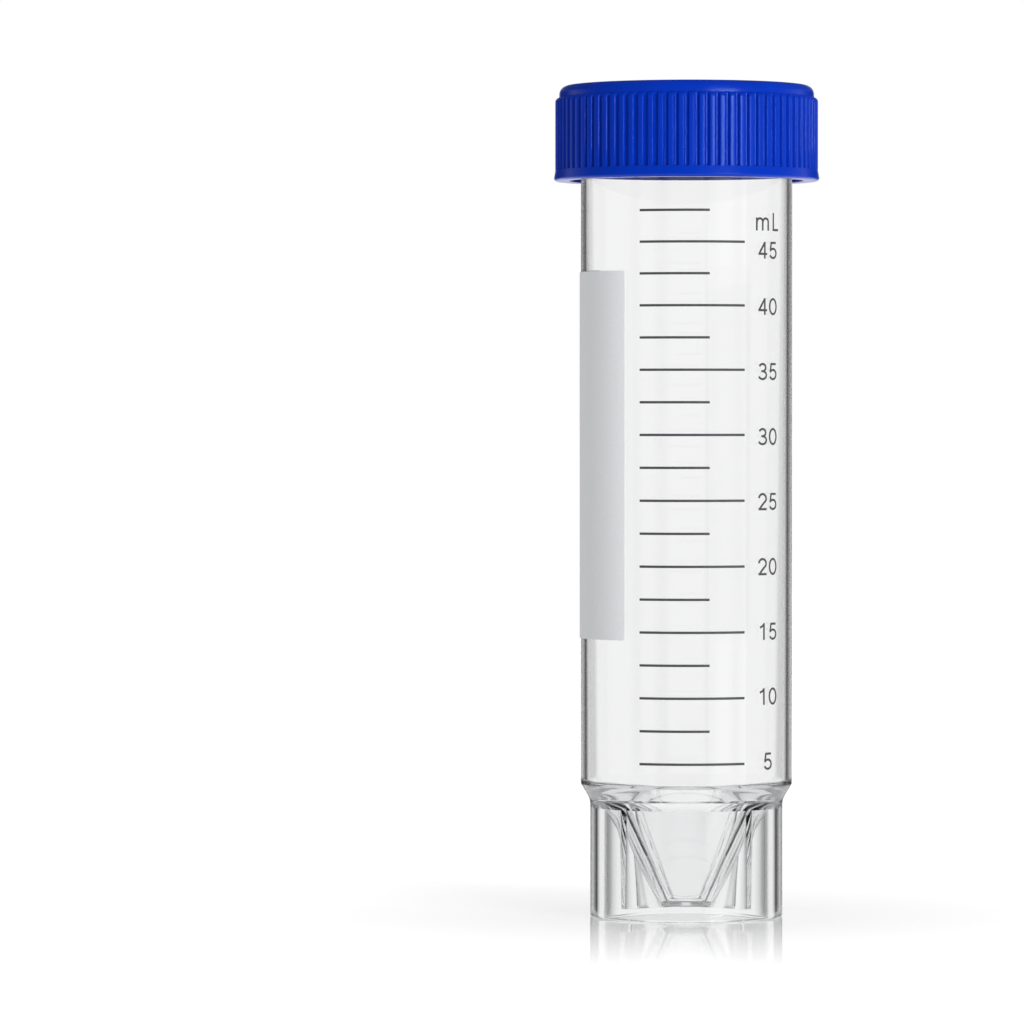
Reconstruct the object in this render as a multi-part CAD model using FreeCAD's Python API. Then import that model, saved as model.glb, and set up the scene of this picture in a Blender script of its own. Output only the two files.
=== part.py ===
import FreeCAD, Part
import math
import os

# 50 ml conical centrifuge tube that stands on its own skirt, with a ribbed screw cap.
# Millimetres, +Z up. The origin is at the middle of the ring that the tube stands on.

# Tube: one clear polypropylene moulding, with body, conical floor, skirt and webs in one piece.
# The wall thins towards the mouth, because the bore has the draft of the core that formed it.
BODY_R = 14.65
BODY_WALL = 1.2
MOUTH_WALL = 0.8
MOUTH_Z = 113.3
RIM_ROUND = 0.35

# Conical floor
CONE_HALF_ANGLE = 30.6
TIP_R = 3.3
TIP_Z = 1.65
TIP_FLOOR = 1.1
TIP_ROUND = 0.8
TIP_INNER_ROUND = 0.7

# Skirt that the tube stands on. The pockets under the cone end where cone and skirt nearly meet,
# and the shoulder and the funnel inside sit a set height above that.
SKIRT_STEP = 1.3
SKIRT_WALL = 1.9
POCKET_TOP_WIDTH = 0.15
SKIRT_ABOVE_POCKET = 1.0
SHOULDER_HEIGHT = 2.2
SHOULDER_ROUND = 2.5
FUNNEL_ABOVE_SHOULDER = 0.5
FUNNEL_HALF_ANGLE = 50.0
FOOT_ROUND = 0.3

# Webs that tie the cone to the skirt, thicker at the top because the mould draws downwards
WEBS = 4
WEB_FIRST_ANGLE = 45.0
WEB_WIDTH = 0.5
WEB_DRAFT_ANGLE = 1.0

# Thread on the neck and in the cap: each start is a ridge with sloping flanks
THREAD_HEIGHT = 0.8
THREAD_PITCH = 3.2
THREAD_STARTS = 2
THREAD_CREST_WIDTH = 0.6
THREAD_FLANK_ANGLE = 30.0
THREAD_ROOT_DEPTH = 0.3
THREAD_BELOW_MOUTH = 1.9
THREAD_ABOVE_RIM = 1.0

# Screw cap: one blue polyethylene moulding
CAP_HEIGHT = 13.2
CAP_TOP_THICKNESS = 1.6
CAP_TOP_ROUND = 1.2
CAP_WALL = 1.5
CAP_BAND_HEIGHT = 1.5
CAP_RIM_FLARE = 0.25
RIBS = 80
RIB_STEP = 0.55
GROOVE_SINK = 0.25
RIB_CREST_SHARE = 0.5
RIB_FLANK_SHARE = 0.16
RIB_TOP_DROP = 1.7

# Fits between cap and tube
SEAT_GAP = 0.1
THREAD_LIFT_GAP = 0.08
CAP_THREAD_HEIGHT = 0.6
PLUG_GAP = 0.12
PLUG_DEPTH = 3.0
PLUG_WALL = 1.0
PLUG_LEAD = 0.5

# Write-on label, stuck to the body beside the scale
LABEL_THICKNESS = 0.15
LABEL_WIDTH = 21.1
LABEL_HEIGHT = 50.6
LABEL_BELOW_CAP = 12.6
LABEL_EDGE_ANGLE = -36.7
LABEL_CORNER_R = 0.8

# What follows from the sizes above
BORE_R = BODY_R - BODY_WALL
MOUTH_BORE_R = BODY_R - MOUTH_WALL
SKIRT_R = BODY_R - SKIRT_STEP
SKIRT_INNER_R = SKIRT_R - SKIRT_WALL
CONE_SLOPE = math.tan(math.radians(CONE_HALF_ANGLE))
POCKET_TOP_Z = TIP_Z + (SKIRT_INNER_R - POCKET_TOP_WIDTH - TIP_R) / CONE_SLOPE
SKIRT_TOP_Z = POCKET_TOP_Z + SKIRT_ABOVE_POCKET
SHOULDER_Z = SKIRT_TOP_Z + SHOULDER_HEIGHT
FUNNEL_Z = SHOULDER_Z + FUNNEL_ABOVE_SHOULDER
THREAD_CREST_R = BODY_R + THREAD_HEIGHT
CAP_THREAD_CREST_R = THREAD_CREST_R + THREAD_LIFT_GAP
CAP_BORE_R = CAP_THREAD_CREST_R + CAP_THREAD_HEIGHT
CAP_R = CAP_BORE_R + CAP_WALL
RIB_CREST_R = CAP_R + RIB_STEP
GROOVE_R = CAP_R - GROOVE_SINK
SEAT_Z = MOUTH_Z + SEAT_GAP
CAP_TOP_Z = SEAT_Z + CAP_TOP_THICKNESS
CAP_RIM_Z = CAP_TOP_Z - CAP_HEIGHT
BAND_TOP_Z = CAP_RIM_Z + CAP_BAND_HEIGHT
RIB_TOP_Z = CAP_TOP_Z - RIB_TOP_DROP
CAP_THREAD_LOW_Z = CAP_RIM_Z + THREAD_ABOVE_RIM
NECK_THREAD_LOW_Z = CAP_THREAD_LOW_Z + THREAD_PITCH / 2
THREAD_RISE = MOUTH_Z - THREAD_BELOW_MOUTH - NECK_THREAD_LOW_Z
LABEL_HIGH_Z = CAP_RIM_Z - LABEL_BELOW_CAP
LABEL_ANGLE = math.degrees(LABEL_WIDTH / BODY_R)

CENTRE = FreeCAD.Vector(0, 0, 0)
UP = FreeCAD.Vector(0, 0, 1)
FRONT_ANGLE = -90.0


def point(r, z):
    """A point of a turned outline: radius and height."""
    return FreeCAD.Vector(r, 0, z)


def turned(corners):
    """Solid of revolution about Z from rows of (radius, height, corner radius)."""
    points = [point(r, z) for r, z, _ in corners]
    edges = []
    last = points[0]
    count = len(points)
    for i in range(1, count + 1):
        corner = points[i % count]
        rounding = corners[i % count][2]
        if rounding == 0:
            edges.append(Part.makeLine(last, corner))
            last = corner
            continue
        before = (points[i - 1] - corner).normalize()
        after = (points[(i + 1) % count] - corner).normalize()
        half = before.getAngle(after) / 2
        start = corner + before * (rounding / math.tan(half))
        end = corner + after * (rounding / math.tan(half))
        bisector = (before + after).normalize()
        middle = corner + bisector * (rounding / math.sin(half) - rounding)
        if last.distanceToPoint(start) > 1e-6:
            edges.append(Part.makeLine(last, start))
        edges.append(Part.Arc(start, middle, end).toShape())
        last = end
    return Part.Face(Part.Wire(edges)).revolve(CENTRE, UP, 360)


def cone_radius(z):
    """Outer radius of the conical floor."""
    return TIP_R + (z - TIP_Z) * CONE_SLOPE


def inner_cone_radius(z):
    """Radius inside the conical floor, one wall in from its outside."""
    return cone_radius(z) - BODY_WALL / math.cos(math.radians(CONE_HALF_ANGLE))


def web(angle):
    """One radial web, wider at the top by its draft on both faces."""
    reach = SKIRT_R - SKIRT_WALL / 2
    sections = []
    for z in (TIP_Z, SHOULDER_Z):
        half = WEB_WIDTH / 2 + (z - TIP_Z) * math.tan(math.radians(WEB_DRAFT_ANGLE))
        corners = [(0, -half), (reach, -half), (reach, half), (0, half), (0, -half)]
        sections.append(Part.makePolygon([FreeCAD.Vector(x, y, z) for x, y in corners]))
    solid = Part.makeLoft(sections, True)
    solid.rotate(CENTRE, UP, FRONT_ANGLE + angle)
    return solid


def pockets():
    """The hollow under the conical floor: a moulded pocket between each two webs, open below."""
    ring = turned(
        [
            (0, -TIP_FLOOR, 0),
            (SKIRT_INNER_R, -TIP_FLOOR, 0),
            (SKIRT_INNER_R, POCKET_TOP_Z, 0),
            (SKIRT_INNER_R - POCKET_TOP_WIDTH, POCKET_TOP_Z, 0),
            (TIP_R, TIP_Z, TIP_ROUND),
            (0, TIP_Z, 0),
        ]
    )
    step = 360 / WEBS
    return ring.cut([web(WEB_FIRST_ANGLE + k * step) for k in range(WEBS)])


def cavity():
    """The space that holds the liquid: drafted bore, funnel and cone."""
    floor_z = TIP_Z + TIP_FLOOR
    funnel_slope = math.tan(math.radians(FUNNEL_HALF_ANGLE))
    width_to_lose = BORE_R - inner_cone_radius(FUNNEL_Z)
    meet_z = FUNNEL_Z - width_to_lose / (funnel_slope - CONE_SLOPE)
    above = MOUTH_Z + BODY_WALL
    draft = (MOUTH_BORE_R - BORE_R) / (MOUTH_Z - FUNNEL_Z)
    return turned(
        [
            (0, floor_z, 0),
            (inner_cone_radius(floor_z), floor_z, TIP_INNER_ROUND),
            (inner_cone_radius(meet_z), meet_z, 0),
            (BORE_R, FUNNEL_Z, 0),
            (BORE_R + (above - FUNNEL_Z) * draft, above, 0),
            (0, above, 0),
        ]
    )


def thread(wall_r, crest_r, low_z):
    """The thread's starts, each a ridge on a helix that is rooted in a wall and narrows to its crest."""
    root_r = wall_r - math.copysign(THREAD_ROOT_DEPTH, crest_r - wall_r)
    crest_half = THREAD_CREST_WIDTH / 2
    root_half = crest_half + abs(crest_r - root_r) * math.tan(math.radians(THREAD_FLANK_ANGLE))
    section = [
        (root_r, -root_half),
        (crest_r, -crest_half),
        (crest_r, crest_half),
        (root_r, root_half),
        (root_r, -root_half),
    ]
    starts = []
    for k in range(THREAD_STARTS):
        profile = Part.makePolygon([point(r, z) for r, z in section])
        path = Part.makeHelix(THREAD_PITCH * THREAD_STARTS, THREAD_RISE, root_r)
        ridge = path.makePipeShell([profile], True, True)
        ridge.translate(UP * low_z)
        ridge.rotate(CENTRE, UP, k * 360 / THREAD_STARTS)
        starts.append(ridge)
    return starts


def tube():
    """The clear tube: its outer form with the thread, less the cavity and the pockets."""
    body = turned(
        [
            (0, 0, 0),
            (SKIRT_R, 0, FOOT_ROUND),
            (SKIRT_R, SKIRT_TOP_Z, SHOULDER_ROUND),
            (BODY_R, SHOULDER_Z, FOOT_ROUND),
            (BODY_R, MOUTH_Z, RIM_ROUND),
            (0, MOUTH_Z, 0),
        ]
    )
    neck_thread = thread(BODY_R, THREAD_CREST_R, NECK_THREAD_LOW_Z)
    return body.fuse(neck_thread).cut([cavity(), pockets()])


def ribbed_ring():
    """The gripping ribs and the grooves between them, as one toothed ring."""
    pitch = 2 * math.pi / RIBS
    crest_half = pitch * RIB_CREST_SHARE / 2
    root_half = crest_half + pitch * RIB_FLANK_SHARE

    def at(radius, angle):
        return FreeCAD.Vector(radius * math.cos(angle), radius * math.sin(angle), 0)

    edges = []
    for k in range(RIBS):
        middle = k * pitch
        rise = at(GROOVE_R, middle - root_half)
        crest_start = at(RIB_CREST_R, middle - crest_half)
        crest_end = at(RIB_CREST_R, middle + crest_half)
        fall = at(GROOVE_R, middle + root_half)
        following = at(GROOVE_R, middle + pitch - root_half)
        edges.append(Part.makeLine(rise, crest_start))
        edges.append(Part.Arc(crest_start, at(RIB_CREST_R, middle), crest_end).toShape())
        edges.append(Part.makeLine(crest_end, fall))
        edges.append(Part.Arc(fall, at(GROOVE_R, middle + pitch / 2), following).toShape())
    outline = Part.Face(Part.Wire(edges))
    low_z = BAND_TOP_Z - CAP_BAND_HEIGHT / 2
    outline.translate(UP * low_z)
    return outline.extrude(UP * (RIB_TOP_Z - low_z))


def screw_cap():
    """The cap: ribbed skirt, flat top, inside thread and the plug that seals the mouth."""
    plug_r = MOUTH_BORE_R - PLUG_GAP
    plug_low = SEAT_Z - PLUG_DEPTH
    below = CAP_RIM_Z - CAP_WALL
    shell = turned(
        [
            (0, CAP_RIM_Z, 0),
            (RIB_CREST_R + CAP_RIM_FLARE, CAP_RIM_Z, FOOT_ROUND),
            (RIB_CREST_R, BAND_TOP_Z, FOOT_ROUND),
            (GROOVE_R, BAND_TOP_Z, 0),
            (GROOVE_R, RIB_TOP_Z, 0),
            (CAP_R, RIB_TOP_Z, 0),
            (CAP_R, CAP_TOP_Z, CAP_TOP_ROUND),
            (0, CAP_TOP_Z, 0),
        ]
    )
    hollow = turned(
        [
            (0, below, 0),
            (CAP_BORE_R, below, 0),
            (CAP_BORE_R, SEAT_Z, FOOT_ROUND),
            (plug_r, SEAT_Z, 0),
            (plug_r, plug_low + PLUG_LEAD, 0),
            (plug_r - PLUG_LEAD, plug_low, 0),
            (plug_r - PLUG_WALL, plug_low, 0),
            (plug_r - PLUG_WALL, SEAT_Z, FOOT_ROUND),
            (0, SEAT_Z, 0),
        ]
    )
    cap_thread = thread(CAP_BORE_R, CAP_THREAD_CREST_R, CAP_THREAD_LOW_Z)
    return shell.fuse(ribbed_ring()).cut(hollow).fuse(cap_thread)


def write_on_label():
    """The label: a thin sheet bent round the body, with rounded corners."""
    outer_r = BODY_R + LABEL_THICKNESS
    low_z = LABEL_HIGH_Z - LABEL_HEIGHT
    outline = [
        (BODY_R, low_z),
        (outer_r, low_z),
        (outer_r, LABEL_HIGH_Z),
        (BODY_R, LABEL_HIGH_Z),
        (BODY_R, low_z),
    ]
    section = Part.Face(Part.makePolygon([point(r, z) for r, z in outline]))
    sheet = section.revolve(CENTRE, UP, LABEL_ANGLE)
    corners = [edge for edge in sheet.Edges if edge.Length < 2 * LABEL_THICKNESS]
    sheet = sheet.makeFillet(LABEL_CORNER_R, corners)
    sheet.rotate(CENTRE, UP, FRONT_ANGLE + LABEL_EDGE_ANGLE - LABEL_ANGLE)
    return sheet


os.makedirs("parts", exist_ok=True)
pieces = {
    "tube": tube(),
    "screw_cap": screw_cap(),
    "write_on_label": write_on_label(),
}
for name, shape in pieces.items():
    shape = shape.removeSplitter()
    print(name, len(shape.Solids), "solid", shape.isValid(), round(shape.Volume, 1), "mm3")
    shape.exportStep("parts/" + name + ".step")
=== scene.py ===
import math

import bmesh
import bpy
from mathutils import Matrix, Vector


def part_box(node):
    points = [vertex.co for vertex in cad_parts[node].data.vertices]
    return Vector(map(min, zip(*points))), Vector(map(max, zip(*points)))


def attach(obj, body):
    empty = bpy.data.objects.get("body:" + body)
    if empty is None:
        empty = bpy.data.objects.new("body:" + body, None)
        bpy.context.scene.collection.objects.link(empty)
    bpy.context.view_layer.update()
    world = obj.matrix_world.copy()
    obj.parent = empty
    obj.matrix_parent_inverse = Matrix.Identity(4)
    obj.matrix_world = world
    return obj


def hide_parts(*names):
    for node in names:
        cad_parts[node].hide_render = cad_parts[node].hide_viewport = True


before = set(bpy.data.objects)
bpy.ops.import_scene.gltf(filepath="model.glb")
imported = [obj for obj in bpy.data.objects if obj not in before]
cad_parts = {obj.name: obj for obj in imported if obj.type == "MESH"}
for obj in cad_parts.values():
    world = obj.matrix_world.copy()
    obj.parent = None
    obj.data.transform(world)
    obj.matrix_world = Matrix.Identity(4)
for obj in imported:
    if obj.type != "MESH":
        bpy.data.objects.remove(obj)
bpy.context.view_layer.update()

# ------------------------------------------------------------------------------------ clear tube
# One clear polypropylene moulding: the body runs down into a cone, and a skirt and four webs round
# the cone let it stand by itself. Core and mould are polished, so both faces of the wall are smooth
# and light bends cleanly through them.
MM = 0.001
mouth_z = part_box("tube")[1].z / MM
body_r = 14.65
body_wall = 1.2
bore_r = body_r - body_wall
mouth_bore_r = body_r - 0.8
rim_round = 0.35

tip_r = 3.3
tip_z = 1.65
tip_floor_z = tip_z + 1.1
tip_round = 0.8
floor_round = 0.7
cone_angle = math.radians(30.6)
cone_slope = math.tan(cone_angle)
cone_wall = body_wall / math.cos(cone_angle)

skirt_r = 13.35
skirt_inner_r = skirt_r - 1.9
foot_round = 0.3
pocket_clear = 0.02
pocket_top_width = 0.15
pocket_top_z = tip_z + (skirt_inner_r - pocket_top_width - tip_r) / cone_slope
skirt_top_z = pocket_top_z + 1.0
shoulder_z = skirt_top_z + 2.2
shoulder_round = 2.5
funnel_z = shoulder_z + 0.5
funnel_slope = math.tan(math.radians(50))
funnel_low_round = 1.0
funnel_high_round = 0.5
shoulder_edge_round = 0.3

webs = 4
web_half = 0.25
web_draft = math.tan(math.radians(1.0))
web_fillet = 0.15

thread_pitch = 3.2
thread_starts = 2
thread_crest_half = 0.3
thread_flank = math.tan(math.radians(30))
thread_root = 0.3
thread_fade = math.radians(20)
thread_crest_r = body_r + 0.8
thread_high_z = mouth_z - 1.9
neck_thread_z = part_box("screw_cap")[0].z / MM + 1.0 + thread_pitch / 2
thread_rise = thread_high_z - neck_thread_z


def rounded_outline(corners, facet=11):
    """Outline points from rows of (radius, height, corner radius); a round corner is an arc."""
    points = []
    for i, (r, z, rounding) in enumerate(corners):
        corner = Vector((r, z))
        if rounding == 0:
            points.append(corner)
            continue
        before = (Vector(corners[i - 1][:2]) - corner).normalized()
        after = (Vector(corners[i + 1][:2]) - corner).normalized()
        half = before.angle(after) / 2
        centre = corner + (before + after).normalized() * rounding / math.sin(half)
        start = corner + before * rounding / math.tan(half) - centre
        end = corner + after * rounding / math.tan(half) - centre
        steps = max(2, math.ceil(start.angle(end) / math.radians(facet)))
        for j in range(steps + 1):
            points.append(centre + start.slerp(end, j / steps).normalized() * rounding)
    return points


def piece_from(name, shape):
    """A named object from a bmesh in metres, with smooth faces and crisp edges."""
    bmesh.ops.remove_doubles(shape, verts=shape.verts, dist=0.0005 * MM)
    bmesh.ops.recalc_face_normals(shape, faces=shape.faces)
    mesh = bpy.data.meshes.new(name)
    shape.to_mesh(mesh)
    shape.free()
    mesh.shade_smooth()
    mesh.set_sharp_from_angle(angle=math.radians(28))
    piece = bpy.data.objects.new(name, mesh)
    bpy.context.scene.collection.objects.link(piece)
    return piece


def skinned(name, loops, closed_ends):
    """A piece with a skin over loops of points in millimetres, each loop joined to the next."""
    shape = bmesh.new()
    rings = [[shape.verts.new(Vector(point) * MM) for point in loop] for loop in loops]
    for ring, following in zip(rings, rings[1:]):
        for k in range(len(ring)):
            n = (k + 1) % len(ring)
            shape.faces.new((ring[k], ring[n], following[n], following[k]))
    if closed_ends:
        shape.faces.new(rings[0])
        shape.faces.new(rings[-1])
    return piece_from(name, shape)


def turned(name, outline, steps):
    """A piece turned about Z from an outline in millimetres that starts and ends on the axis."""
    shape = bmesh.new()
    points = [shape.verts.new((r * MM, 0, z * MM)) for r, z in outline]
    edges = [shape.edges.new(pair) for pair in zip(points, points[1:])]
    bmesh.ops.spin(
        shape, geom=points + edges, axis=(0, 0, 1), angle=math.tau, steps=steps, use_merge=True
    )
    return piece_from(name, shape)


def shaped_by(piece, operation, tool):
    """Join a tool's solid to a piece, or cut it out of the piece, and drop the tool."""
    modifier = piece.modifiers.new(operation, "BOOLEAN")
    modifier.operation = operation
    modifier.object = tool
    modifier.solver = "EXACT"
    seen = piece.evaluated_get(bpy.context.evaluated_depsgraph_get())
    mesh = bpy.data.meshes.new_from_object(seen)
    piece.modifiers.clear()
    piece.data = mesh
    bpy.data.objects.remove(tool)
    mesh.shade_smooth()
    mesh.set_sharp_from_angle(angle=math.radians(28))


def thread_ridge(name, wall_r, crest_r, low_z, start_angle):
    """One start of the thread: a ridge on a helix, rooted in a wall, that fades in and out."""
    root_r = wall_r - math.copysign(thread_root, crest_r - wall_r)
    full_turn = thread_rise / (thread_pitch * thread_starts) * math.tau
    steps = math.ceil(full_turn / math.radians(3))
    loops = []
    for j in range(steps + 1):
        turn = full_turn * j / steps
        fade = min(1, turn / thread_fade, (full_turn - turn) / thread_fade)
        height = (crest_r - root_r) * (0.15 + 0.85 * math.sin(fade * math.pi / 2))
        root_half = thread_crest_half + abs(height) * thread_flank
        section = [
            (root_r, -root_half),
            (root_r + height, -thread_crest_half),
            (root_r + height, thread_crest_half),
            (root_r, root_half),
        ]
        middle_z = low_z + thread_rise * j / steps
        loops.append(
            [
                (r * math.cos(start_angle + turn), r * math.sin(start_angle + turn), middle_z + z)
                for r, z in section
            ]
        )
    return skinned(name, loops, closed_ends=True)


def cone_radius(z):
    """Outer radius of the conical floor, with the round at its tip."""
    round_side = tip_round * math.tan((math.pi / 2 - cone_angle) / 2)
    above_flat = z - tip_z
    if above_flat >= tip_round * (1 - math.sin(cone_angle)):
        return tip_r + above_flat * cone_slope
    return tip_r - round_side + math.sqrt(tip_round**2 - (tip_round - above_flat) ** 2)


def pocket_loop(z, first_angle):
    """Outline of one pocket under the cone at a height, between two webs, with filleted corners."""
    inner_r = cone_radius(max(z, tip_z))
    fillet = min(web_fillet, (skirt_inner_r - inner_r) * 0.49)
    half = web_half + web_draft * max(z - tip_z, 0) + fillet
    inner_reach = math.sqrt((inner_r + fillet) ** 2 - half**2)
    outer_reach = math.sqrt((skirt_inner_r - fillet) ** 2 - half**2)
    inner_angle = math.atan2(half, inner_reach)
    outer_angle = math.atan2(half, outer_reach)
    middle = math.pi / webs
    outline = []
    for j in range(12):
        outline.append((inner_r, middle + (inner_angle - middle) * j / 12))
    for reach, start, end in (
        (inner_reach, math.pi + inner_angle, 1.5 * math.pi),
        (outer_reach, 1.5 * math.pi, math.tau + outer_angle),
    ):
        for j in range(6):
            turn = start + (end - start) * j / 5
            x = reach + fillet * math.cos(turn)
            y = half + fillet * math.sin(turn)
            outline.append((math.hypot(x, y), math.atan2(y, x)))
    for j in range(1, 19):
        outline.append((skirt_inner_r, outer_angle + (middle - outer_angle) * j / 18))
    outline += [(r, 2 * middle - angle) for r, angle in outline[-2:0:-1]]
    return [
        (r * math.cos(first_angle + angle), r * math.sin(first_angle + angle), z)
        for r, angle in outline
    ]


inner_top_r = tip_r + (funnel_z - tip_z) * cone_slope - cone_wall
funnel_low_z = funnel_z - (bore_r - inner_top_r) / (funnel_slope - cone_slope)
floor_r = tip_r + (tip_floor_z - tip_z) * cone_slope - cone_wall
funnel_low_r = tip_r + (funnel_low_z - tip_z) * cone_slope - cone_wall
tube = turned(
    "clear_tube",
    rounded_outline(
        [
            (0, tip_floor_z, 0),
            (floor_r, tip_floor_z, floor_round),
            (funnel_low_r, funnel_low_z, funnel_low_round),
            (bore_r, funnel_z, funnel_high_round),
            (mouth_bore_r, mouth_z, rim_round),
            (body_r, mouth_z, rim_round),
            (body_r, shoulder_z, shoulder_edge_round),
            (skirt_r, skirt_top_z, shoulder_round),
            (skirt_r, 0, foot_round),
            (skirt_inner_r + pocket_clear, 0, foot_round),
            (skirt_inner_r + pocket_clear, tip_z, 0),
            (0, tip_z, 0),
        ]
    ),
    steps=256,
)
for k in range(thread_starts):
    ridge = thread_ridge(
        f"neck_thread_{k}", body_r, thread_crest_r, neck_thread_z, k * math.tau / thread_starts
    )
    shaped_by(tube, "UNION", ridge)
for k in range(webs):
    heights = [tip_z - 0.5, tip_z]
    heights += [tip_z + tip_round * (1 - math.cos(math.radians(15 * j))) for j in range(1, 6)]
    heights += [heights[-1] + (pocket_top_z - heights[-1]) * j / 30 for j in range(1, 31)]
    first_angle = (k + 0.5) * math.tau / webs
    loops = [pocket_loop(z, first_angle) for z in heights]
    shaped_by(tube, "DIFFERENCE", skinned(f"pocket_{k}", loops, closed_ends=True))


def linear(hex_colour):
    """Linear colour with alpha from an sRGB hex value such as #3a5f9c."""
    channels = [int(hex_colour[i : i + 2], 16) / 255 for i in (1, 3, 5)]
    return (*[c / 12.92 if c < 0.04045 else ((c + 0.055) / 1.055) ** 2.4 for c in channels], 1)


def add(tree, kind, into=None, **settings):
    """Add a shader node with its settings, and set or link its sockets from the values in into."""
    node = tree.nodes.new("ShaderNode" + kind)
    for name, value in settings.items():
        setattr(node, name, value)
    for socket, value in (into or {}).items():
        if isinstance(value, bpy.types.Node):
            value = value.outputs[0]
        if isinstance(value, bpy.types.NodeSocket):
            tree.links.new(value, node.inputs[socket])
        else:
            node.inputs[socket].default_value = value
    return node


def new_material(name):
    """An empty material and its node tree."""
    material = bpy.data.materials.new(name)
    material.use_nodes = True
    material.node_tree.nodes.clear()
    return material, material.node_tree


# Moulded clear polypropylene: glassy and faintly cool in a thick section, with flow waves a few
# millimetres wide that only just disturb what is seen through the wall.
FLOW_WAVE_MM = 5.0
clear_plastic, tree = new_material("clear_moulded_polypropylene")
place = add(tree, "TexCoord")
stretched = add(tree, "Mapping", {"Vector": place.outputs["Object"], "Scale": (1, 1, 0.25)})
flow = add(tree, "TexNoise", {"Vector": stretched, "Scale": 1 / (FLOW_WAVE_MM * MM), "Detail": 1})
flow_bump = add(tree, "Bump", {"Height": flow, "Strength": 0.15, "Distance": 0.02 * MM})
plastic = add(
    tree,
    "BsdfPrincipled",
    {
        "Base Color": linear("#ffffff"),
        "Roughness": 0.015,
        "IOR": 1.49,
        "Transmission Weight": 1.0,
        "Normal": flow_bump,
    },
)
tint = add(tree, "VolumeAbsorption", {"Color": linear("#e4e5e6"), "Density": 120.0})
add(tree, "OutputMaterial", {"Surface": plastic, "Volume": tint})
tube.data.materials.clear()
tube.data.materials.append(clear_plastic)
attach(tube, "tube_body")
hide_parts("tube")

# ---------------------------------------------------------------------------------- printed scale
# The scale is screen-printed on the body in dark grey ink: a mark for each 2.5 ml, long at every
# 5 ml, with the number of millilitres beside each long mark. The marks stand even at first, then
# draw closer together.
ink_thickness = 0.02
print_lift = 0.01
mark_width = 0.34
mark_left = math.radians(-25.8)
short_mark_right = math.radians(12.5)
long_mark_right = math.radians(32.8)
lowest_mark_z = 21.79
mark_step = 4.496
mark_step_loss = 0.013
even_marks = 10
mark_ml = 2.5
marks = 18
number_angle = math.radians(49.6)
number_height = 2.3
lowest_number_z = 22.0
number_step = 8.9
highest_number_z = 92.0
unit_height = 2.45
unit_z = 95.9
pen_width = 0.31


def flat_stroke(name, points, width, thickness):
    """A flat bar of ink along a path of (x, y) points in millimetres, which may be a closed one."""
    path = [Vector(point) for point in points]
    closed = (path[0] - path[-1]).length < 1e-6
    loops = []
    for j, middle in enumerate(path):
        before = path[j - 1] if j else path[-2 if closed else 0]
        after = path[j + 1] if j + 1 < len(path) else path[1 if closed else -1]
        along = (after - before).normalized()
        side = Vector((-along.y, along.x)) * width / 2
        low, high = middle - side, middle + side
        loops.append([(*low, 0), (*high, 0), (*high, thickness), (*low, thickness)])
    return skinned(name, loops, closed_ends=not closed)


def arc(x, y, across, up, start, end):
    """Points of part of an oval about (x, y), from one angle in degrees to another."""
    steps = max(4, math.ceil(abs(end - start) / 12))
    turns = [math.radians(start + (end - start) * j / steps) for j in range(steps + 1)]
    return [(x + across * math.cos(turn), y + up * math.sin(turn)) for turn in turns]


# Plain upright signs, each a few strokes of the pen in a box one unit high, with its width
signs = {
    "0": (0.70, [arc(0.35, 0.50, 0.30, 0.45, 90, 450)]),
    "1": (0.70, [[(0.46, 0), (0.46, 1)], [(0.46, 0.95), (0.34, 0.82), (0.15, 0.74)]]),
    "2": (
        0.70,
        [
            arc(0.35, 0.68, 0.28, 0.27, 175, -30) + [(0.34, 0.32), (0.11, 0.05)],
            [(0.04, 0.05), (0.67, 0.05)],
        ],
    ),
    "3": (
        0.70,
        [
            arc(0.34, 0.735, 0.25, 0.215, 160, -90) + [(0.24, 0.52)],
            arc(0.34, 0.285, 0.30, 0.235, 90, -160),
        ],
    ),
    "4": (
        0.70,
        [
            [(0.51, 0), (0.51, 1)],
            [(0.51, 0.97), (0.07, 0.28)],
            [(0.02, 0.28), (0.70, 0.28)],
        ],
    ),
    "5": (
        0.70,
        [
            [(0.15, 0.95), (0.62, 0.95)],
            [(0.19, 0.98), (0.11, 0.47)],
            [(0.09, 0.47)] + arc(0.35, 0.325, 0.29, 0.275, 130, -155),
        ],
    ),
    "m": (
        0.98,
        [
            [(0.05, 0), (0.05, 0.72)],
            [(0.07, 0.50)] + arc(0.27, 0.50, 0.20, 0.18, 150, 0) + [(0.47, 0)],
            [(0.49, 0.50)] + arc(0.69, 0.50, 0.20, 0.18, 150, 0) + [(0.89, 0)],
        ],
    ),
    "L": (0.62, [[(0.17, 0), (0.17, 1)], [(0.13, 0.05), (0.62, 0.05)]]),
}
sign_gap = 0.17
sign_stretch = 1.09


def lettering(name, text, height):
    """Flat lettering in millimetres, drawn stroke by stroke and centred on its own middle."""
    width = sum(signs[sign][0] + sign_gap for sign in text) - sign_gap
    x = -width / 2
    written = None
    for sign in text:
        for path in signs[sign][1]:
            points = [((x + px) * sign_stretch * height, (py - 0.5) * height) for px, py in path]
            stroke = flat_stroke(name, points, pen_width, ink_thickness)
            if written:
                shaped_by(written, "UNION", stroke)
            else:
                written = stroke
        x += signs[sign][0] + sign_gap
    return written


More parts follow.
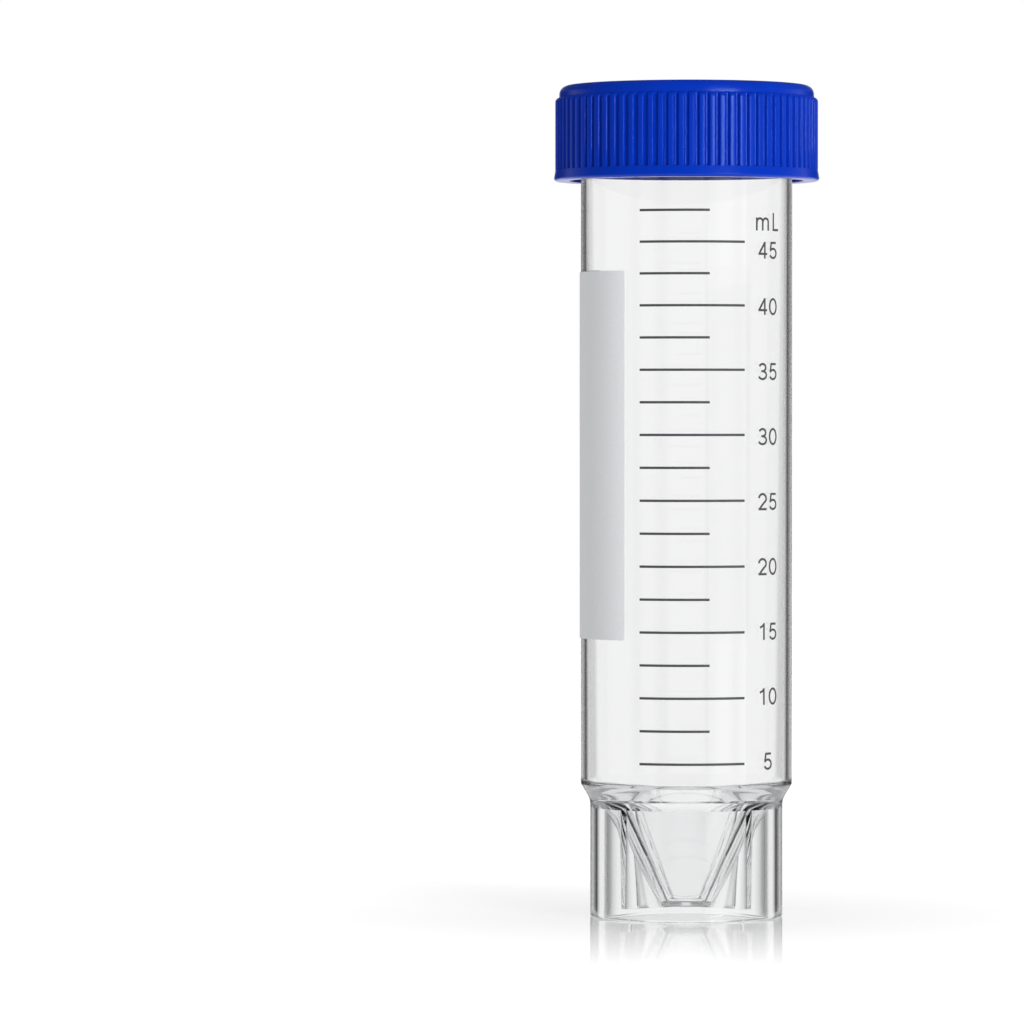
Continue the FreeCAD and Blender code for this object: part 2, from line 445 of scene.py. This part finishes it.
def bent_round(piece, angle, z):
    """Bend a flat piece round the body, with its middle at an angle and a height."""
    shape = bmesh.new()
    shape.from_mesh(piece.data)
    left = min(v.co.x for v in shape.verts)
    right = max(v.co.x for v in shape.verts)
    cuts = math.ceil((right - left) / (0.36 * MM))
    for j in range(1, cuts):
        bmesh.ops.bisect_plane(
            shape,
            geom=shape.verts[:] + shape.edges[:] + shape.faces[:],
            plane_co=(left + (right - left) * j / cuts, 0, 0),
            plane_no=(1, 0, 0),
        )
    for v in shape.verts:
        turn = angle + v.co.x / (body_r * MM)
        r = (body_r + print_lift) * MM + v.co.z
        v.co = (r * math.sin(turn), -r * math.cos(turn), z * MM + v.co.y)
    shape.to_mesh(piece.data)
    shape.free()
    return piece


def joined(name, pieces):
    """Several pieces joined into one object."""
    bpy.ops.object.select_all(action="DESELECT")
    for piece in pieces:
        piece.select_set(True)
    bpy.context.view_layer.objects.active = pieces[0]
    bpy.ops.object.join()
    pieces[0].name = name
    return pieces[0]


mark_bars = []
numbers = []
for k in range(marks):
    volume = mark_ml * (k + 2)
    z = lowest_mark_z + mark_step * k - mark_step_loss * max(k + 1 - even_marks, 0) ** 2
    right = long_mark_right if volume % 5 == 0 else short_mark_right
    ends = [(mark_left * body_r, 0), (right * body_r, 0)]
    mark_bars.append(bent_round(flat_stroke("mark", ends, mark_width, ink_thickness), 0, z))
    if volume % 5 == 0:
        number = lettering("number", str(int(volume)), number_height)
        number_z = min(lowest_number_z + number_step * k / 2, highest_number_z)
        numbers.append(bent_round(number, number_angle, number_z))
scale_marks = joined("scale_marks", mark_bars)
scale_numbers = joined("scale_numbers", numbers)
unit = bent_round(lettering("millilitre_sign", "mL", unit_height), number_angle, unit_z)

# Screen-printing ink: a matt dark grey, laid a little unevenly through the mesh of the screen.
# Its threads are 0.1 mm apart, which is too fine to show, so the unevenness is drawn at 0.4 mm.
INK_MESH_MM = 0.4
scale_ink, tree = new_material("screen_printed_ink")
place = add(tree, "TexCoord")
cover = add(tree, "TexNoise", {"Vector": place.outputs["Object"], "Scale": 1 / (INK_MESH_MM * MM)})
ink_colour = add(tree, "ValToRGB", {"Fac": cover})
ink_colour.color_ramp.elements[0].color = linear("#2e2f31")
ink_colour.color_ramp.elements[1].color = linear("#4d4e50")
ink_bump = add(tree, "Bump", {"Height": cover, "Strength": 0.3, "Distance": 0.01 * MM})
ink = add(
    tree,
    "BsdfPrincipled",
    {"Base Color": ink_colour, "Roughness": 0.55, "IOR": 1.5, "Normal": ink_bump},
)
add(tree, "OutputMaterial", {"Surface": ink})
for printed in (scale_marks, scale_numbers, unit):
    printed.data.materials.clear()
    printed.data.materials.append(scale_ink)
    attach(printed, "tube_body")

# ---------------------------------------------------------------------------------- write-on label
# A pale grey plastic film with a matt coat that takes a pen. It is stuck to the body beside the
# scale, with rounded corners.
label_low, label_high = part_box("write_on_label")
label_width = 21.6
label_height = (label_high.z - label_low.z) / MM
label_z = (label_high.z + label_low.z) / 2 / MM
label_corner = 0.5
label_right = math.radians(-34.8)
label_thickness = 0.14

label_outline = []
for k, (side_x, side_y) in enumerate(((1, 1), (-1, 1), (-1, -1), (1, -1))):
    centre_x = side_x * (label_width / 2 - label_corner)
    centre_y = side_y * (label_height / 2 - label_corner)
    label_outline += arc(centre_x, centre_y, label_corner, label_corner, 90 * k, 90 * k + 90)
sheet_faces = [[(x, y, height) for x, y in label_outline] for height in (0, label_thickness)]
label = skinned("grey_label", sheet_faces, closed_ends=True)
bent_round(label, label_right - label_width / 2 / body_r, label_z)

# Matt-coated film: soft and even, with a fine chalky grain. The grain is about 0.05 mm, too fine to
# show, so it is drawn at 0.35 mm.
COAT_GRAIN_MM = 0.35
label_film, tree = new_material("matt_coated_film")
place = add(tree, "TexCoord")
grain = add(
    tree,
    "TexNoise",
    {"Vector": place.outputs["Object"], "Scale": 1 / (COAT_GRAIN_MM * MM), "Detail": 3},
)
film_colour = add(tree, "ValToRGB", {"Fac": grain})
film_colour.color_ramp.elements[0].color = linear("#dcdfe1")
film_colour.color_ramp.elements[1].color = linear("#e6e8ea")
film_bump = add(tree, "Bump", {"Height": grain, "Strength": 0.2, "Distance": 0.02 * MM})
film = add(
    tree,
    "BsdfPrincipled",
    {"Base Color": film_colour, "Roughness": 0.75, "IOR": 1.45, "Normal": film_bump},
)
add(tree, "OutputMaterial", {"Surface": film})
label.data.materials.clear()
label.data.materials.append(label_film)
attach(label, "tube_body")
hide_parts("write_on_label")

# ------------------------------------------------------------------------------------- screw cap
# One blue polyethylene moulding with 80 gripping ribs between a plain top and a flared rim band.
# Inside are the thread and a plug that seals the mouth.
cap_low, cap_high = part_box("screw_cap")
cap_rim_z = cap_low.z / MM
cap_top_z = cap_high.z / MM
seat_z = mouth_z + 0.1
cap_thread_crest_r = thread_crest_r + 0.08
cap_bore_r = cap_thread_crest_r + 0.6
cap_r = cap_bore_r + 1.5
ribs = 80
rib_crest_r = cap_r + 0.55
groove_r = cap_r + 0.1
band_top_z = cap_rim_z + 1.5
rib_top_z = cap_top_z - 1.7
rib_shoulder = rib_crest_r - cap_r
groove_profile = [
    (0, 1),
    (0.06, 1),
    (0.11, 0.93),
    (0.165, 0.62),
    (0.205, 0.33),
    (0.24, 0.14),
    (0.28, 0.03),
    (0.32, 0),
]
groove_arch = 0.36
groove_high_z = rib_top_z + 0.12
ledge = 0.1
plug_r = mouth_bore_r - 0.12
plug_wall = 1.0
plug_lead = 0.5
plug_low_z = seat_z - 3.0
gate_r = 2.4
gate_floor_r = 2.2
gate_depth = 0.15


def groove_end(share, z):
    """How much of a groove is left at a height: 1 along it, 0 past its arched top and its ledge."""
    arch_share = min(1, share / groove_profile[-1][0])
    high_z = groove_high_z - groove_arch * (1 - math.sqrt(1 - arch_share**2))
    left = max(0, min(1, (high_z - z) / ledge, (z - band_top_z) / ledge))
    return left * left * (3 - 2 * left)


def crest_radius(z):
    """Outer radius on a rib, with the round shoulder where the rib ends at the plain top."""
    above = z - (rib_top_z - rib_shoulder)
    if above <= 0:
        return rib_crest_r
    if above >= rib_shoulder:
        return cap_r
    return cap_r + math.sqrt(rib_shoulder**2 - above**2)


inside = rounded_outline(
    [
        (0, seat_z, 0),
        (plug_r - plug_wall, seat_z, 0.3),
        (plug_r - plug_wall, plug_low_z, 0),
        (plug_r - plug_lead, plug_low_z, 0.1),
        (plug_r, plug_low_z + plug_lead, 0.1),
        (plug_r, seat_z, 0),
        (cap_bore_r, seat_z, 0.3),
        (cap_bore_r, cap_rim_z, 0.2),
        (cap_bore_r + 0.3, cap_rim_z, 0),
    ],
    facet=45,
)
rim = rounded_outline(
    [
        (cap_bore_r + 0.5, cap_rim_z, 0),
        (rib_crest_r + 0.25, cap_rim_z, 0.4),
        (rib_crest_r + 0.02, band_top_z - 0.12, 0),
        (rib_crest_r, band_top_z, 0),
    ],
    facet=15,
)
top = rounded_outline(
    [
        (cap_r, groove_high_z + 0.05, 0),
        (cap_r, cap_top_z, 1.2),
        (gate_r, cap_top_z, 0.1),
        (gate_floor_r, cap_top_z - gate_depth, 0.1),
        (0, cap_top_z - gate_depth, 0),
    ],
    facet=15,
)
rib_heights = [band_top_z + ledge * j / 3 for j in range(4)]
rib_heights += [rib_heights[-1] + (rib_top_z - 1.0 - rib_heights[-1]) * j / 3 for j in range(1, 4)]
rib_heights += [rib_top_z - 1.0 + (groove_high_z + 1.0 - rib_top_z) * j / 15 for j in range(1, 16)]
across_rib = [(-share, cut) for share, cut in groove_profile[:0:-1]] + groove_profile + [(0.5, 0)]
turns = [math.tau * (k + share) / ribs for k in range(ribs) for share, cut in across_rib]
loops = [[(r * math.cos(a), r * math.sin(a), z) for a in turns] for r, z in inside + rim]
for z in rib_heights:
    crest = crest_radius(z)
    radii = [
        crest - (crest - groove_r) * cut * groove_end(abs(share), z) for share, cut in across_rib
    ]
    loops.append([(r * math.cos(a), r * math.sin(a), z) for r, a in zip(radii * ribs, turns)])
loops += [[(r * math.cos(a), r * math.sin(a), z) for a in turns] for r, z in top]
cap = skinned("ribbed_cap", loops, closed_ends=False)
for k in range(thread_starts):
    ridge = thread_ridge(
        f"cap_thread_{k}",
        cap_bore_r,
        cap_thread_crest_r,
        cap_rim_z + 1.0,
        k * math.tau / thread_starts,
    )
    shaped_by(cap, "UNION", ridge)

# Moulded polyethylene, coloured through: waxy, half glossy and a little soft at the edges. The
# mould's fine satin texture is 0.05 mm, and is drawn at 0.25 mm so that it shows.
SATIN_MM = 0.25
blue_plastic, tree = new_material("moulded_blue_polyethylene")
place = add(tree, "TexCoord")
satin = add(
    tree,
    "TexNoise",
    {"Vector": place.outputs["Object"], "Scale": 1 / (SATIN_MM * MM), "Detail": 2},
)
cloud = add(tree, "TexNoise", {"Vector": place.outputs["Object"], "Scale": 1 / (6 * MM)})
cap_colour = add(tree, "ValToRGB", {"Fac": cloud})
cap_colour.color_ramp.elements[0].color = linear("#002aa0")
cap_colour.color_ramp.elements[1].color = linear("#0030ac")
cap_gloss = add(tree, "MapRange", {"Value": cloud, "To Min": 0.2, "To Max": 0.26})
cap_bump = add(tree, "Bump", {"Height": satin, "Strength": 0.15, "Distance": 0.02 * MM})
polyethylene = add(
    tree,
    "BsdfPrincipled",
    {
        "Base Color": cap_colour,
        "Roughness": cap_gloss,
        "IOR": 1.5,
        "Specular IOR Level": 0.2,
        "Specular Tint": linear("#cfe3ff"),
        "Normal": cap_bump,
    },
)
add(tree, "OutputMaterial", {"Surface": polyethylene})
cap.data.materials.clear()
cap.data.materials.append(blue_plastic)
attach(cap, "cap_body")
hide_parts("screw_cap")

# ------------------------------------------------------------------------------- floor and studio
# A glossy white table in a white tent. Black flags stand at both sides of the tent's back, as they
# do when glassware is photographed, so that the clear walls have dark edges.
bpy.ops.mesh.primitive_plane_add(size=40)
floor = bpy.context.object
floor.name = "white_table"
table, tree = new_material("glossy_white_table")
ray = add(tree, "LightPath")
spot = add(tree, "NewGeometry")
reach = add(tree, "VectorMath", {0: spot.outputs["Position"]}, operation="LENGTH")
reach = reach.outputs["Value"]
paint = add(tree, "BsdfDiffuse", {"Color": (0.5, 0.5, 0.5, 1)})
glow_strength = add(tree, "Mix", {0: ray.outputs["Is Diffuse Ray"], 2: 0.78, 3: 0.5})
glow = add(tree, "Emission", {"Strength": glow_strength})
white = add(tree, "AddShader", {0: paint, 1: glow})
gloss = add(tree, "BsdfGlossy", {"Roughness": 0.04})
mirror = add(tree, "Fresnel", {"IOR": 1.45})
fading = add(
    tree,
    "MapRange",
    {"Value": reach, "From Min": 0.02, "From Max": 0.095, "To Min": 1, "To Max": 0},
)
mirror_share = add(tree, "Math", {0: mirror, 1: fading}, operation="MULTIPLY")
top_coat = add(tree, "MixShader", {0: mirror_share, 1: white, 2: gloss})
far = add(tree, "MapRange", {"Value": reach, "From Min": 0.014, "From Max": 0.024})
seen_through = add(tree, "Math", {0: far, 1: ray.outputs["Is Glossy Ray"]}, operation="MULTIPLY")
open_air = add(tree, "BsdfTransparent")
surface = add(tree, "MixShader", {0: seen_through, 1: top_coat, 2: open_air})
add(tree, "OutputMaterial", {"Surface": surface})
floor.data.materials.append(table)

world = bpy.data.worlds.new("white_tent")
world.use_nodes = True
bpy.context.scene.world = world
tree = world.node_tree
tree.nodes.clear()
ray = add(tree, "LightPath")
direction = add(tree, "TexCoord")
axes = add(tree, "SeparateXYZ", {0: direction.outputs["Generated"]})

# A bearing is counted from the back of the tent, the same to the left and the right
sideways = add(tree, "Math", {0: axes.outputs["X"]}, operation="ABSOLUTE")
bearing = add(tree, "Math", {0: sideways, 1: axes.outputs["Y"]}, operation="ARCTAN2")
bearing_share = add(tree, "Math", {0: bearing, 1: math.pi}, operation="DIVIDE")


def ramp(tree, value, stops):
    """A grey ramp over a share of a half turn, from stops of (degrees, grey)."""
    node = add(tree, "ValToRGB", {"Fac": value})
    elements = node.color_ramp.elements
    for k, (degrees, grey) in enumerate(stops):
        element = elements[k] if k < 2 else elements.new(degrees / 180)
        element.position = degrees / 180
        element.color = (grey, grey, grey, 1)
    return node


level_flags = ramp(
    tree,
    bearing_share,
    [
        (0, 1),
        (11, 1),
        (17, 0.46),
        (21, 0.24),
        (25, 0.14),
        (28.5, 0.04),
        (31.8, 0.38),
        (35.5, 0.72),
        (40, 1),
        (52, 1),
        (58, 0.5),
        (64, 0.5),
        (70, 1),
        (110, 0.85),
        (116, 0.4),
        (122, 0.4),
        (128, 0.8),
        (140, 0.8),
        (150, 0.3),
        (156, 0.3),
        (162, 0.8),
    ],
)
low_flags = ramp(tree, bearing_share, [(0, 1), (13, 1), (18, 0.08), (34, 0.08), (39, 1)])
high_flags = ramp(tree, bearing_share, [(0, 1), (4, 1), (8, 0.3), (30, 0.3), (36, 1)])

# Heights are counted in degrees from straight down, so that 90 is level. Each zone says where its
# flags stand.
height = add(tree, "Math", {0: axes.outputs["Z"]}, operation="ARCSINE")
height_share = add(
    tree,
    "MapRange",
    {"Value": height, "From Min": -math.pi / 2, "From Max": math.pi / 2},
)
level_zone = ramp(tree, height_share, [(0, 0), (75, 0), (81, 1), (92, 1), (94, 0)])
high_zone = ramp(tree, height_share, [(0, 0), (92, 0), (94, 1), (107, 1), (111, 0)])
low_zone = ramp(tree, height_share, [(0, 0), (52, 0), (55, 1), (72, 1), (76, 0)])
tent = add(tree, "Mix", {0: level_zone, 2: 1.0, 3: level_flags})
tent = add(tree, "Mix", {0: high_zone, 2: tent, 3: high_flags})
tent = add(tree, "Mix", {0: low_zone, 2: tent, 3: low_flags})

# What shines in gloss: the tent's back, dark sides and a pale table below
mirrored = ramp(
    tree,
    bearing_share,
    [
        (0, 1),
        (7, 1),
        (13, 0.3),
        (17, 0.02),
        (46, 0.02),
        (54, 0.8),
        (70, 0.5),
        (90, 0.12),
        (180, 0.08),
    ],
)
mirror_zone = ramp(tree, height_share, [(0, 0), (76, 0), (82, 1), (98, 1), (106, 0)])
off_level = ramp(
    tree, height_share, [(0, 2), (60, 2), (74, 1.2), (92, 1.2), (104, 0.08), (180, 0.08)]
)
reflected = add(tree, "Mix", {0: mirror_zone, 2: off_level, 3: mirrored})
from_right = add(
    tree,
    "MapRange",
    {"Value": axes.outputs["X"], "From Min": -1, "From Max": 1, "To Min": 0.34, "To Max": 0.76},
)
strength = add(tree, "Mix", {0: ray.outputs["Is Glossy Ray"], 2: from_right, 3: reflected})
strength = add(tree, "Mix", {0: ray.outputs["Is Transmission Ray"], 2: strength, 3: tent})
strength = add(tree, "Mix", {0: ray.outputs["Is Camera Ray"], 2: strength, 3: 1.0})
background = add(tree, "Background", {"Color": (1, 1, 1, 1), "Strength": strength})
add(tree, "OutputWorld", {"Surface": background})

# Lamps as soft boxes of even brightness, which stand round the tube at a bearing from the camera.
# The key box is the one that the cap's ribs mirror. It starts above the level of the cap's rim, two
# more carry on above it that show in no gloss, and a wide dim one carries on below it.
def soft_box(name, bearing, width, low_z, high_z, brightness, mirrored_in_gloss=True):
    """A rectangular lamp that faces the tube's axis, with its brightness where white is 1."""
    lamp = bpy.data.lights.new(name, "AREA")
    lamp.shape = "RECTANGLE"
    lamp.size = width
    lamp.size_y = high_z - low_z
    lamp.energy = brightness * math.pi * lamp.size * lamp.size_y
    box = bpy.data.objects.new(name, lamp)
    turn = math.radians(bearing)
    box.location = (
        lamp_distance * math.sin(turn),
        -lamp_distance * math.cos(turn),
        (low_z + high_z) / 2,
    )
    box.rotation_euler = (math.pi / 2, 0, turn)
    box.visible_camera = False
    box.visible_transmission = False
    box.visible_glossy = mirrored_in_gloss
    bpy.context.scene.collection.objects.link(box)


lamp_distance = 1.3
key_bearing = 34
key_width = 0.55
soft_box("key_box", key_bearing, key_width, 0.155, 0.22, 30)
soft_box("upper_box", key_bearing, key_width, 0.22, 0.38, 19, mirrored_in_gloss=False)
soft_box("high_box", key_bearing, key_width, 0.38, 1.1, 4, mirrored_in_gloss=False)
soft_box("low_box", 46, 1.05, -0.35, 0.152, 1.0)

# The camera stands well back and a little above the middle of the tube, and looks almost level.
camera_data = bpy.data.cameras.new("camera")
camera_data.sensor_width = 36
camera_data.lens = 212.98
camera_data.clip_end = 100
camera = bpy.data.objects.new("camera", camera_data)
camera.location = (0, -0.84, 0.070)
camera.rotation_euler = (math.radians(90 - 0.955), 0, math.radians(1.649))
bpy.context.scene.collection.objects.link(camera)
bpy.context.scene.camera = camera

scene = bpy.context.scene
scene.view_settings.view_transform = "Standard"
scene.cycles.max_bounces = 32
scene.cycles.transmission_bounces = 32
scene.cycles.glossy_bounces = 16
scene.cycles.transparent_max_bounces = 16
